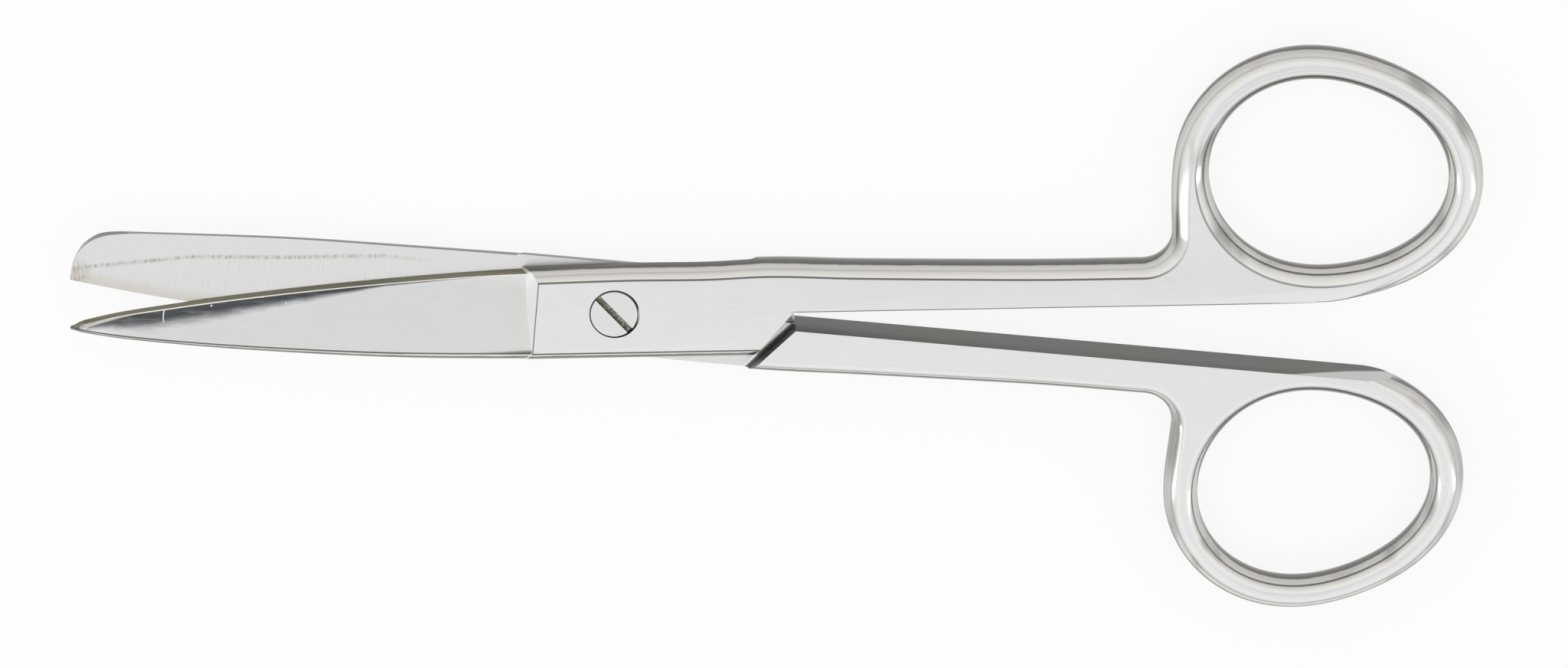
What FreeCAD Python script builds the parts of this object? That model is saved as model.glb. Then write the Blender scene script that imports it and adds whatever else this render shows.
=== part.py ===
"""Operating scissors: straight, one sharp blade and one blunt blade, joined by one slotted pivot screw.

Millimetres. +X runs from the blades to the finger rings, +Z up through the flat of the pair. The origin is on
the pivot axis, at the underside. Both halves are drawn the same way up, as the front half lies when the pair is
closed with its shank along y = 0, and the back half is then turned over about the X axis. A ring's centre is
given by its reach past the neck and by its distance to the side. The two halves differ slightly, so each has
its own sizes.
"""
import FreeCAD, Part
import math
import os
from FreeCAD import Vector

# Whole pair
THICKNESS = 4.8
LAP_GAP = 0.04
FRONT_TURN = 1.1
BACK_TURN = -5.3

# Lap box, measured from the pivot axis
SHOULDER_X = 8.1
SHOULDER_SKEW = 6.0
SHOULDER_SLOPE = 53.0
BOX_CREASE = 1.1
STEP_REACH = 18.73
STEP_ANGLE = 49.0
STEP_GAP = 0.2
STEP_COVE = 0.6

# Shank
NECK_X = 54.4
SHANK_CREASE = 1.3
SHANK_ROUND = 1.4

# Neck and finger ring
NECK_RADIUS = 3.15
NECK_CREASE = 1.7
NECK_DEPTH = 2.3
RING_CREASE_BORE = 1.45
RING_FLAT = 0.25
NECK_BAR_EXTRA = 0.1
BAR_SWELL = 0.18
BAR_SWELL_TURN = -20.0
CREASE_LEAN = 0.19
RING_EGG = 0.26
RING_EGG_TURN = -5.0
WEB_RIM_DEPTH = 1.0
BURIED_ROUND = 0.3
# The bar is drawn across at even steps: round the neck's corner, then clockwise round the ring into the web.
NECK_ANGLES = (-90, -72, -54, -36, -18, 0)
RING_START = 184
RING_END = -116
RING_STEP = 12
WEB_ANGLES = (188, 196, 204, 212, 220, 228, 236, 244, 252, 260)
# The face's crease fades out over this turn as the ring leaves the neck.
CREASE_FADE = 40.0
# Nearing the web again, the crease comes back and the outer rounding shrinks by this share.
RIM_START = -36.0
RIM_FADE = 60.0
RIM_SHRINK = 0.88

# Blades
BLADE_REACH = 56.1
HONED_WIDTH = 0.38
EDGE_LAND = 0.05
# Where a blade section runs thin, its crease, honed bevel and honed ridge take at most these shares of it.
THIN_CREASE_SHARE = 0.5
THIN_HONED_SHARE = 0.25
THIN_RIDGE_SHARE = 0.6
# How far the outer face's curve is pulled along from the spine and the edge, and the roll's share at the spine.
PULL_SPINE = 0.34
PULL_EDGE = 0.3
SPINE_ROLL_SHARE = 0.3

# Pivot screw
HEAD_RADIUS = 2.5
HEAD_HEIGHT = 1.0
HEAD_SINK = 0.06
HEAD_CHAMFER = 0.12
RECESS_CLEARANCE = 0.12
RECESS_SHIFT = 0.06
SEAT_CLEARANCE = 0.04
JOURNAL_RADIUS = 1.9
JOURNAL_CLEARANCE = 0.04
THREAD_RADIUS = 1.7
SLOT_WIDTH = 0.8
SLOT_DEPTH = 0.6
SLOT_ANGLE = -47.0

MIDDLE = THICKNESS / 2
LAP_FACE = MIDDLE + LAP_GAP / 2
UP = Vector(0, 0, 1)
BEZIER_QUARTER = 0.5523
# How far one solid reaches into the next where they join, how far a cutter overruns, and a length past all.
OVERLAP = 0.2
OVERRUN = 1.0
FAR = 2 * (BLADE_REACH + NECK_X)


class HalfShape:
    """What differs between the two forgings: inner wall, outer side, blade outline, neck and finger ring."""

    def __init__(self, wall, side, spine_side, blade, neck_x, ring_reach, ring_side, bore, ring_tilt, bar):
        self.wall = wall
        self.side = side
        self.spine_side = spine_side
        self.blade = blade
        self.neck_x = neck_x
        self.ring_centre = Vector(neck_x + ring_reach, ring_side, 0)
        self.bore = bore
        self.ring_tilt = ring_tilt
        self.bar = bar


# A side station is: share of the way from the shoulder to the neck, half width of the outer side.
# A blade station is: share of the blade's length, spine, cutting edge, spine thickness, honed ridge, roll.
# A roll above 0 crowns the outer face towards the edge, and below 0 hollows it.
FRONT_SHAPE = HalfShape(
    wall=-0.12,
    side=(
        (-0.05, 4.55),
        (0.16, 4.82),
        (0.29, 4.80),
        (0.38, 5.00),
        (0.52, 4.68),
        (0.68, 4.41),
        (0.84, 4.21),
        (1.00, 4.20),
    ),
    spine_side=5.3,
    blade=(
        (-0.04, 5.27, 4.50, 2.32, 0.90, -0.70),
        (0.08, 5.20, 4.27, 2.24, 0.62, -0.45),
        (0.29, 4.92, 3.65, 1.98, 0.52, -0.10),
        (0.54, 4.14, 2.60, 1.62, 0.45, 0.18),
        (0.77, 3.11, 1.30, 1.32, 0.40, 0.34),
        (0.91, 2.24, 0.28, 1.12, 0.36, 0.30),
        (1.00, 1.44, -0.70, 0.95, 0.50, 0.05),
    ),
    neck_x=NECK_X,
    ring_reach=19.07,
    ring_side=13.24,
    bore=(12.34, 10.23),
    ring_tilt=-7.5,
    bar=3.42,
)
BACK_SHAPE = HalfShape(
    wall=0.08,
    side=(
        (-0.05, 4.68),
        (0.16, 5.12),
        (0.29, 5.22),
        (0.38, 5.20),
        (0.52, 4.84),
        (0.68, 4.49),
        (0.84, 4.18),
        (1.00, 4.10),
    ),
    spine_side=4.85,
    blade=(
        (-0.04, 4.82, 4.55, 2.32, 0.90, -0.70),
        (0.08, 4.76, 4.50, 2.24, 0.62, -0.45),
        (0.29, 4.62, 4.30, 2.00, 0.55, -0.10),
        (0.54, 4.38, 3.95, 1.72, 0.50, 0.12),
        (0.77, 3.80, 3.38, 1.50, 0.48, 0.16),
        (0.91, 3.40, 2.74, 1.38, 0.46, 0.18),
        (1.00, 3.20, 2.24, 1.30, 0.45, 0.18),
    ),
    neck_x=NECK_X + 0.9,
    ring_reach=18.31,
    ring_side=12.52,
    bore=(12.12, 10.26),
    ring_tilt=-17.8,
    bar=3.3,
)
# Rounded end of the blunt blade, from spine to cutting edge: share of the blade's length and side offset.
BLUNT_END = ((0.84, -3.62), (0.93, -2.92), (0.975, -1.6), (0.996, 0.3), (1.0, 1.75))


def spline_edge(points):
    curve = Part.BSplineCurve()
    curve.interpolate(points)
    return curve.toShape()


def arc_edge(start, middle, end):
    return Part.Arc(start, middle, end).toShape()


def line_edge(start, end):
    return Part.LineSegment(start, end).toShape()


def bezier_edge(points):
    curve = Part.BezierCurve()
    curve.setPoles(points)
    return curve.toShape()


def prism(corners, low, high):
    """Upright solid over a plan outline of straight sides."""
    points = [Vector(x, y, low) for x, y in corners]
    face = Part.Face(Part.makePolygon(points + points[:1]))
    return face.extrude(Vector(0, 0, high - low))


def side_x(shape, share):
    return share * (shape.neck_x + SHOULDER_X) - SHOULDER_X


def neck_side(shape):
    return shape.side[-1][1]


def rounded(outer, inward, run, level, crisp):
    """Quarter curve from the lap face's height at an outer point to a flat face's level, one run inward.

    crisp 1 leaves a crease at the flat face, and 0 runs smoothly into it.
    """
    rise = level - LAP_FACE
    return [
        Vector(outer.x, outer.y, LAP_FACE),
        Vector(outer.x, outer.y, LAP_FACE + BEZIER_QUARTER * rise),
        outer + inward * (run * (1 - BEZIER_QUARTER)) + Vector(0, 0, level - crisp * CREASE_LEAN * rise),
        outer + inward * run + Vector(0, 0, level),
    ]


def upper_section(shape, share, width):
    """Face-side layer cut across: flat face, a crease each side, convex bands down to the lap face."""
    x = side_x(shape, share)
    crease = BOX_CREASE + (SHANK_CREASE - BOX_CREASE) * share
    side_band = rounded(Vector(x, width, 0), Vector(0, -1, 0), crease, THICKNESS, 1.0)
    spine_band = rounded(Vector(x, -shape.spine_side, 0), Vector(0, 1, 0), crease, THICKNESS, 1.0)[::-1]
    return Part.Wire([
        bezier_edge(side_band),
        line_edge(side_band[-1], spine_band[0]),
        bezier_edge(spine_band),
        line_edge(spine_band[-1], side_band[0]),
    ])


def lower_section(shape, share, width):
    """Lap-side layer of the shank cut across: square inner wall, softly rounded outer edge."""
    x = side_x(shape, share)
    curve = rounded(Vector(x, width, 0), Vector(0, -1, 0), SHANK_ROUND, 0.0, 0.0)
    inner_low = Vector(x, shape.wall, 0)
    inner_top = Vector(x, shape.wall, LAP_FACE)
    return Part.Wire([
        bezier_edge(curve),
        line_edge(curve[-1], inner_low),
        line_edge(inner_low, inner_top),
        line_edge(inner_top, curve[0]),
    ])


def diagonal_x(y):
    """Where the step's line crosses a given side offset, on the shank side."""
    return STEP_REACH - y / math.tan(math.radians(STEP_ANGLE))


def upper_layer(shape):
    """Lap box and the face-side half of the shank, ended by the slanted shoulder and the diagonal."""
    strip = Part.makeLoft([upper_section(shape, *station) for station in shape.side], True, True)
    wide = shape.spine_side + OVERRUN
    end_gap = STEP_GAP / 2 / math.sin(math.radians(STEP_ANGLE))
    beyond = prism(
        [
            (diagonal_x(-shape.wall) - end_gap, shape.wall),
            (diagonal_x(wide) - end_gap, -wide),
            (FAR, -wide),
            (FAR, shape.wall),
        ],
        0,
        THICKNESS + OVERRUN,
    )
    return strip.cut(beyond).cut(end_chamfer(shape, wide, end_gap)).cut(shoulder_cutter(wide))


def end_chamfer(shape, wide, end_gap):
    """Wedge that clears the lap's diagonal end from the cove at the foot of the other half's step."""
    size = STEP_COVE + STEP_GAP
    turn = math.radians(STEP_ANGLE)
    across = Vector(math.sin(turn), -math.cos(turn), 0)
    foot = Vector(diagonal_x(0) - end_gap, 0, LAP_FACE)
    corners = [
        foot + across * -size - UP * OVERRUN,
        foot + across * -size,
        foot + UP * size,
        foot + across * size + UP * size,
        foot + across * size - UP * OVERRUN,
    ]
    face = Part.Face(Part.makePolygon(corners + corners[:1]))
    along = Vector(-math.cos(turn), -math.sin(turn), 0)
    face.translate(along * -OVERRUN)
    return face.extrude(along * (wide * 2)).common(prism(
        [(0, shape.wall), (0, -wide), (FAR, -wide), (FAR, shape.wall)], 0, THICKNESS + OVERRUN))


def shoulder_cutter(wide):
    """Everything on the blade side of the slanted shoulder plane."""
    slope = math.radians(SHOULDER_SLOPE)
    high = THICKNESS + OVERRUN
    top_x = OVERRUN / math.tan(slope) - SHOULDER_X
    corners = [
        Vector(top_x, 0, high),
        Vector(top_x - high / math.tan(slope), 0, 0),
        Vector(-FAR, 0, 0),
        Vector(-FAR, 0, high),
    ]
    face = Part.Face(Part.makePolygon(corners + corners[:1]))
    face.translate(Vector(0, -wide * 2, 0))
    cutter = face.extrude(Vector(0, wide * 4, 0))
    cutter.rotate(Vector(-SHOULDER_X, 0, 0), UP, -SHOULDER_SKEW)
    return cutter


def lower_layer(shape):
    """Lap-side half of the shank, from the step with its cove to the neck."""
    strip = Part.makeLoft([lower_section(shape, *station) for station in shape.side], True, True)
    turn = math.radians(STEP_ANGLE)
    across = Vector(math.sin(turn), math.cos(turn), 0)
    along = Vector(-math.cos(turn), math.sin(turn), 0)
    foot = Vector(diagonal_x(0), 0, LAP_FACE) + across * (STEP_GAP / 2)
    start = foot - across * STEP_COVE
    middle = foot - (across + UP) * (STEP_COVE * (1 - math.sqrt(0.5)))
    end = foot - UP * STEP_COVE
    low = foot - UP * (LAP_FACE + OVERRUN)
    far_low = low + across * FAR
    far_top = foot + across * FAR
    keep = Part.Face(Part.Wire([
        arc_edge(start, middle, end),
        line_edge(end, low),
        line_edge(low, far_low),
        line_edge(far_low, far_top),
        line_edge(far_top, start),
    ]))
    keep.translate(along * -FAR)
    return strip.common(keep.extrude(along * (2 * FAR)))


def blade_section(x, spine, edge, thick, ridge, roll):
    """Blade cut across at x: flat inner face, rounded spine, outer face rolling down to the honed bevel."""
    crease = min(BOX_CREASE, THIN_CREASE_SHARE * thick)
    spine_band = rounded(Vector(x, -spine, 0), Vector(0, 1, 0), crease, LAP_FACE + thick, 1.0)
    top_spine = spine_band[-1]
    honed = min(HONED_WIDTH, THIN_HONED_SHARE * (edge + spine))
    top_edge = Vector(x, edge - honed, LAP_FACE + min(ridge, THIN_RIDGE_SHARE * thick))
    low_edge = Vector(x, edge, LAP_FACE + EDGE_LAND)
    foot = Vector(x, edge, LAP_FACE)
    chord = top_edge - top_spine
    return Part.Wire([
        bezier_edge(spine_band),
        bezier_edge([
            top_spine,
            top_spine + chord * PULL_SPINE + Vector(0, 0, SPINE_ROLL_SHARE * roll),
            top_edge - chord * PULL_EDGE + Vector(0, 0, roll),
            top_edge,
        ]),
        line_edge(top_edge, low_edge),
        line_edge(low_edge, foot),
        line_edge(foot, spine_band[0]),
    ])


def blade_x(share):
    return -SHOULDER_X - share * (BLADE_REACH - SHOULDER_X)


def blade(shape):
    sections = [blade_section(blade_x(station[0]), *station[1:]) for station in shape.blade]
    return Part.makeLoft(sections, True, True)


def blunt_end_keeper():
    """Upright solid that holds the blade up to its rounded end."""
    points = [Vector(blade_x(share), y, 0) for share, y in BLUNT_END]
    reach = blade_x(BLUNT_END[-1][0])
    wide = 2 * BACK_SHAPE.spine_side
    last = Vector(reach, wide, 0)
    root_top = Vector(0, wide, 0)
    root_low = Vector(0, -wide, 0)
    first = Vector(points[0].x, -wide, 0)
    face = Part.Face(Part.Wire([
        spline_edge(points),
        line_edge(points[-1], last),
        line_edge(last, root_top),
        line_edge(root_top, root_low),
        line_edge(root_low, first),
        line_edge(first, points[0]),
    ]))
    return face.extrude(Vector(0, 0, THICKNESS))


def bore_point(shape, degrees):
    """Point on the ring's bore, an ellipse with a slight three-sided egg form."""
    turn = math.radians(degrees - shape.ring_tilt)
    half_long, half_short = shape.bore
    radius = half_long * half_short / math.hypot(half_short * math.cos(turn), half_long * math.sin(turn))
    radius += RING_EGG * math.cos(math.radians(3 * (degrees - RING_EGG_TURN)))
    angle = math.radians(degrees)
    return shape.ring_centre + Vector(math.cos(angle), math.sin(angle), 0) * radius


def bore_normal(shape, degrees):
    tangent = bore_point(shape, degrees + 0.5) - bore_point(shape, degrees - 0.5)
    return Vector(tangent.y, -tangent.x, 0).normalize()


def bar_width(shape, degrees):
    return shape.bar + BAR_SWELL * math.cos(math.radians(2 * (degrees - BAR_SWELL_TURN)))


def bar_section(outer, inward, width, runs, under_runs, crisp):
    """Bar cut across: outer side at the given point, bore side one width inward, all four edges rounded."""
    inner = outer + inward * width
    outward = inward * -1
    up_outer = rounded(outer, inward, runs[0], THICKNESS, crisp)
    down_inner = rounded(inner, outward, runs[1], THICKNESS, crisp)[::-1]
    under_inner = rounded(inner, outward, under_runs[1], 0.0, 0.0)
    up_under = rounded(outer, inward, under_runs[0], 0.0, 0.0)[::-1]
    return Part.Wire([
        bezier_edge(up_outer),
        line_edge(up_outer[-1], down_inner[0]),
        bezier_edge(down_inner),
        bezier_edge(under_inner),
        line_edge(under_inner[-1], up_under[0]),
        bezier_edge(up_under),
    ])


def handle_loop(shape):
    """Bar that turns out of the shank, runs right round the finger ring and ends in the web."""
    centre = Vector(shape.neck_x, neck_side(shape) + NECK_RADIUS, 0)
    sections = []
    for degrees in NECK_ANGLES:
        share = (degrees - NECK_ANGLES[0]) / (NECK_ANGLES[-1] - NECK_ANGLES[0])
        angle = math.radians(degrees)
        inward = Vector(math.cos(angle), math.sin(angle), 0)
        crease = SHANK_CREASE + (NECK_CREASE - SHANK_CREASE) * share
        under = SHANK_ROUND + (NECK_CREASE - SHANK_ROUND) * share
        outer = centre + inward * NECK_RADIUS
        runs = (crease, BURIED_ROUND)
        under_runs = (under, BURIED_ROUND)
        sections.append(bar_section(outer, inward, NECK_DEPTH, runs, under_runs, 1.0))
    for degrees in range(RING_START, RING_END - 1, -RING_STEP):
        normal = bore_normal(shape, degrees)
        near = max(0.0, 1 - (RING_START - degrees) / CREASE_FADE)
        late = min(1.0, max(0.0, (RIM_START - degrees) / RIM_FADE))
        width = bar_width(shape, degrees) + NECK_BAR_EXTRA * near
        outer_run = (width - RING_CREASE_BORE - RING_FLAT) * (1 - RIM_SHRINK * late)
        runs = (outer_run, RING_CREASE_BORE)
        outer = bore_point(shape, degrees) + normal * width
        sections.append(bar_section(outer, normal * -1, width, runs, runs, max(near, late)))
    return Part.makeLoft(sections, True, True)


def web_rim(shape):
    """Rounded bore edge of the web, which closes the ring between the loop's end and its start."""
    sections = []
    width = RING_CREASE_BORE + WEB_RIM_DEPTH
    runs = (BURIED_ROUND, RING_CREASE_BORE)
    for degrees in range(RING_START, RING_END + 361, RING_STEP):
        normal = bore_normal(shape, degrees)
        outer = bore_point(shape, degrees) + normal * width
        sections.append(bar_section(outer, normal * -1, width, runs, runs, 1.0))
    return Part.makeLoft(sections, True, True)


def web(shape):
    """Flat web between shank, neck and ring."""
    centre = Vector(shape.neck_x, neck_side(shape) + NECK_RADIUS, 0)
    reach = NECK_RADIUS + NECK_CREASE + OVERLAP
    corners = [(centre.x - OVERRUN, shape.wall - OVERRUN), (centre.x - OVERRUN, centre.y - reach)]
    for degrees in NECK_ANGLES:
        angle = math.radians(degrees)
        corners.append((centre.x + reach * math.cos(angle), centre.y + reach * math.sin(angle)))
    for degrees in WEB_ANGLES:
        point = bore_point(shape, degrees) + bore_normal(shape, degrees) * (RING_CREASE_BORE + RING_FLAT / 2)
        corners.append((point.x, point.y))
    corners.append((corners[-1][0] + 2 * OVERRUN, shape.wall - OVERRUN))
    return prism(corners, 0, THICKNESS)


def inner_wall_cutter(shape):
    """Everything past the ground inner wall of shank and ring."""
    corners = [(STEP_REACH, shape.wall), (STEP_REACH, -FAR), (FAR, -FAR), (FAR, shape.wall)]
    return prism(corners, -OVERRUN, THICKNESS + OVERRUN)


def forging(shape, blunt):
    blade_solid = blade(shape)
    if blunt:
        blade_solid = blade_solid.common(blunt_end_keeper())
    handle = handle_loop(shape).fuse([web(shape), web_rim(shape)]).cut(inner_wall_cutter(shape))
    body = upper_layer(shape).fuse([lower_layer(shape), handle, blade_solid])
    return body.removeSplitter()


def upright_cylinder(radius, low, high, x=0.0, y=0.0):
    return Part.makeCylinder(radius, high - low, Vector(x, y, low))


def turned_over(solid):
    result = solid.copy()
    result.rotate(Vector(0, 0, MIDDLE), Vector(1, 0, 0), 180)
    return result


def front_half():
    seat = THICKNESS - HEAD_SINK - HEAD_HEIGHT - SEAT_CLEARANCE
    recess_radius = HEAD_RADIUS + RECESS_CLEARANCE
    recess = upright_cylinder(recess_radius, seat, THICKNESS + OVERRUN, RECESS_SHIFT, RECESS_SHIFT)
    bore = upright_cylinder(JOURNAL_RADIUS + JOURNAL_CLEARANCE, 0, THICKNESS)
    half = forging(FRONT_SHAPE, False).cut(bore)
    half.rotate(Vector(0, 0, 0), UP, FRONT_TURN)
    return half.cut(recess)


def back_half():
    half = turned_over(forging(BACK_SHAPE, True))
    half.rotate(Vector(0, 0, 0), UP, BACK_TURN)
    return half.cut(upright_cylinder(THREAD_RADIUS, -OVERRUN, THICKNESS))


def pivot_screw():
    top = THICKNESS - HEAD_SINK
    under_head = top - HEAD_HEIGHT
    thread_top = MIDDLE - LAP_GAP / 2
    profile = Part.makePolygon([
        Vector(0, 0, 0),
        Vector(THREAD_RADIUS, 0, 0),
        Vector(THREAD_RADIUS, 0, thread_top),
        Vector(JOURNAL_RADIUS, 0, thread_top),
        Vector(JOURNAL_RADIUS, 0, under_head),
        Vector(HEAD_RADIUS, 0, under_head),
        Vector(HEAD_RADIUS, 0, top - HEAD_CHAMFER),
        Vector(HEAD_RADIUS - HEAD_CHAMFER, 0, top),
        Vector(0, 0, top),
        Vector(0, 0, 0),
    ])
    screw = Part.Face(profile).revolve(Vector(0, 0, 0), UP, 360)
    corner = Vector(-2 * HEAD_RADIUS, -SLOT_WIDTH / 2, top - SLOT_DEPTH)
    slot = Part.makeBox(4 * HEAD_RADIUS, SLOT_WIDTH, SLOT_DEPTH + OVERRUN, corner)
    slot.rotate(Vector(0, 0, 0), UP, SLOT_ANGLE)
    return screw.cut(slot)


def export(name, shape):
    solids = shape.Solids
    if len(solids) != 1 or not solids[0].isValid():
        print(name, "solids:", len(solids), "valid:", [solid.isValid() for solid in solids])
    if len(solids) == 1:
        shape = solids[0]
    shape.exportStep("parts/" + name + ".step")
    box = shape.BoundBox
    print(name, "volume", round(shape.Volume, 1), "mm3, faces", len(shape.Faces),
          "x", round(box.XMin, 2), round(box.XMax, 2), "y", round(box.YMin, 2), round(box.YMax, 2),
          "z", round(box.ZMin, 2), round(box.ZMax, 2))


def main():
    os.makedirs("parts", exist_ok=True)
    export("front_half", front_half())
    export("back_half", back_half())
    export("pivot_screw", pivot_screw())


main()
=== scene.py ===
import math

import bmesh
import bpy
import numpy as np
from mathutils import Matrix, Vector
from mathutils.geometry import tessellate_polygon

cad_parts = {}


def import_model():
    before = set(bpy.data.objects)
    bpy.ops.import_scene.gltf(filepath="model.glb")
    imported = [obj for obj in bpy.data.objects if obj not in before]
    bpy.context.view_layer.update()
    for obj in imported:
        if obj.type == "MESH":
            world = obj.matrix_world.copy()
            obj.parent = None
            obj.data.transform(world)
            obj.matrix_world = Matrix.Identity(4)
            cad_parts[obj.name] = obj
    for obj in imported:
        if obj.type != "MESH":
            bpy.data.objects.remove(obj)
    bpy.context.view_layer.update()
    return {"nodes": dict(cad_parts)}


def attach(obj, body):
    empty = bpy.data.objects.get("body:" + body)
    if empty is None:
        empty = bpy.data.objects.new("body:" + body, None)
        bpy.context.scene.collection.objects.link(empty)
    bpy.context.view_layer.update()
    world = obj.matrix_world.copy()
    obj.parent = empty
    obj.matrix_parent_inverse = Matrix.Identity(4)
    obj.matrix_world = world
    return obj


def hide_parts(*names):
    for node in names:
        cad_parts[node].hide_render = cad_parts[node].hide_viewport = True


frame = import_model()

# Sizes in millimetres, as in the solids. Each half is drawn as the front half lies in the closed pair.
THICKNESS = 4.8
LAP_GAP = 0.04
FRONT_TURN = 1.1
BACK_TURN = -5.3
SHOULDER_X = 8.1
SHOULDER_SKEW = 6.0
SHOULDER_SLOPE = 53.0
BOX_CREASE = 1.1
STEP_REACH = 18.73
STEP_ANGLE = 49.0
STEP_GAP = 0.2
STEP_COVE = 0.6
NECK_X = 54.4
SHANK_CREASE = 1.3
SHANK_ROUND = 1.4
NECK_RADIUS = 3.15
NECK_CREASE = 1.7
RING_CREASE_BORE = 1.45
RING_FLAT = 0.25
NECK_BAR_EXTRA = 0.1
BAR_SWELL = 0.18
BAR_SWELL_TURN = -20.0
CREASE_LEAN = 0.19
RING_EGG = 0.26
RING_EGG_TURN = -5.0
RIM_START = -36.0
RIM_FADE = 60.0
RIM_SHRINK = 0.88
BLADE_REACH = 56.1
EDGE_LAND = 0.05
HEAD_RADIUS = 2.5
HEAD_HEIGHT = 1.0
HEAD_SINK = 0.06
RECESS_SHIFT = 0.06
SEAT_CLEARANCE = 0.04
JOURNAL_RADIUS = 1.9
THREAD_RADIUS = 1.7
SLOT_DEPTH = 0.6
SLOT_ANGLE = -47.0
MIDDLE = THICKNESS / 2
LAP_FACE = MIDDLE + LAP_GAP / 2
BEZIER_QUARTER = 0.5523
WEB_START = 144
WEB_FULL = 184
JOURNAL_CLEARANCE = 0.04

# Sizes that are a little smaller here than in the solids, to look like the photo.
HONED_WIDTH = 0.33
HEAD_CHAMFER = 0.07
RECESS_CLEARANCE = 0.10
SLOT_WIDTH = 0.68

# The small round that every ground crease has, the end of the sharp tip, and the fineness of the meshes.
MM = 0.001
EDGE_BREAK = 0.10
RIDGE_BREAK = 0.12
LAP_BREAK = 0.07
TIP_SPINE = 2.5
TIP_LENGTH = 1.3
TIP_SPINE_CUT = 0.16
TIP_EDGE_CUT = 0.30
SCREW_BREAK = 0.03
ROWS = 12
SOFT_ROWS = 5
BLADE_COLUMNS = 110
ROUND_SIDES = 160
FAINT = 0.25
WEB_MIDDLE = 264
SHARP_FROM = 24.0
WELD = 0.004
BURIED_X = -SHOULDER_X - 3.3
JOIN_ANGLE = 164.0
CLEAR = 1.0
FAR = 130.0
PAST_STEP = 9

# Blade station: share of the blade's length, spine, cutting edge, spine thickness, honed ridge, roll.
FRONT = dict(
    name="front",
    wall=-0.12,
    side=((-0.05, 4.55), (0.16, 4.82), (0.29, 4.80), (0.38, 5.00), (0.52, 4.68), (0.68, 4.41), (0.84, 4.21),
          (1.00, 4.20)),
    spine_side=5.3,
    blade=(
        (-0.04, 5.27, 4.50, 2.32, 0.90, -0.70),
        (0.08, 5.20, 4.27, 2.24, 0.62, -0.45),
        (0.29, 4.92, 3.65, 1.98, 0.52, -0.10),
        (0.54, 4.14, 2.60, 1.62, 0.45, 0.18),
        (0.77, 3.11, 1.30, 1.32, 0.40, 0.34),
        (0.91, 2.24, 0.28, 1.12, 0.36, 0.30),
        (1.00, 1.44, -0.70, 0.95, 0.50, 0.05),
    ),
    neck_x=NECK_X,
    ring_centre=(NECK_X + 19.07, 13.24),
    bore=(12.34, 10.23),
    ring_tilt=-7.5,
    bar=3.42,
)
BACK = dict(
    name="back",
    wall=0.08,
    side=((-0.05, 4.68), (0.16, 5.12), (0.29, 5.22), (0.38, 5.20), (0.52, 4.84), (0.68, 4.49), (0.84, 4.18),
          (1.00, 4.10)),
    spine_side=4.85,
    blade=(
        (-0.04, 4.82, 4.55, 2.32, 0.90, -0.70),
        (0.08, 4.76, 4.50, 2.24, 0.62, -0.45),
        (0.29, 4.62, 4.30, 2.00, 0.55, -0.10),
        (0.54, 4.38, 3.95, 1.72, 0.50, 0.12),
        (0.77, 3.80, 3.38, 1.50, 0.48, 0.16),
        (0.91, 3.40, 2.74, 1.38, 0.46, 0.18),
        (1.00, 3.20, 2.24, 1.30, 0.45, 0.18),
    ),
    neck_x=NECK_X + 0.9,
    ring_centre=(NECK_X + 0.9 + 18.31, 12.52),
    bore=(12.12, 10.26),
    ring_tilt=-17.8,
    bar=3.3,
)
BLUNT_END = ((0.84, -3.62), (0.93, -2.92), (0.975, -1.6), (0.996, 0.3), (1.0, 1.75))


# Forms

def track(places, values, at):
    """Smooth line through the stations (places, values), read at the places given."""
    places = np.asarray(places, float)
    values = np.asarray(values, float)
    at = np.asarray(at, float)
    slopes = np.gradient(values, places)
    i = np.clip(np.searchsorted(places, at) - 1, 0, len(places) - 2)
    span = places[i + 1] - places[i]
    t = (at - places[i]) / span
    a = (1 + 2 * t) * (1 - t) ** 2 * values[i] + t * (1 - t) ** 2 * span * slopes[i]
    b = t * t * (3 - 2 * t) * values[i + 1] + t * t * (t - 1) * span * slopes[i + 1]
    return a + b


def bezier(points, t):
    points = np.asarray(points, float)
    t = np.asarray(t, float)[:, None]
    return (points[0] * (1 - t) ** 3 + 3 * points[1] * t * (1 - t) ** 2
            + 3 * points[2] * t * t * (1 - t) + points[3] * t ** 3)


def quarter(run, rise, crisp):
    """Rows of (inward, up) from the middle of a side to just past its slightly rounded crease."""
    if run < EDGE_BREAK:
        rows = np.linspace(0, 1, ROWS + SOFT_ROWS)[:, None]
        return rows * np.array([[0.0, rise]])
    curve = bezier([(0, 0), (0, BEZIER_QUARTER * rise),
                    (run * (1 - BEZIER_QUARTER), rise * (1 - crisp * CREASE_LEAN)), (run, rise)],
                   np.linspace(0, 1, 41))
    left = np.hypot(*(curve[-1] - curve).T)
    keep = curve[left > EDGE_BREAK]
    picks = np.linspace(0, len(keep) - 1, ROWS).round().astype(int)
    t = np.array([0.25, 0.5, 0.75, 1.0])[:, None]
    corner = np.array([run, rise])
    past = np.array([run + EDGE_BREAK, rise])
    soft = keep[-1] * (1 - t) ** 2 + 2 * corner * t * (1 - t) + past * t * t
    return np.vstack([keep[picks], (keep[-1] + soft[0]) / 2, soft])


def column(outer, inward, up_run, crisp, low_run):
    """One column of rim points, from the underside's flat up to the face's flat."""
    up = quarter(up_run, THICKNESS - LAP_FACE, crisp)
    low = quarter(low_run, LAP_FACE, 0.0)[::-1]
    run = np.concatenate([low[:, 0], up[1:, 0]])
    level = np.concatenate([LAP_FACE - low[:, 1], LAP_FACE + up[1:, 1]])
    plan = np.array(outer)[None, :2] + np.outer(run, np.array(inward)[:2])
    return np.column_stack([plan, level])


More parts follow.
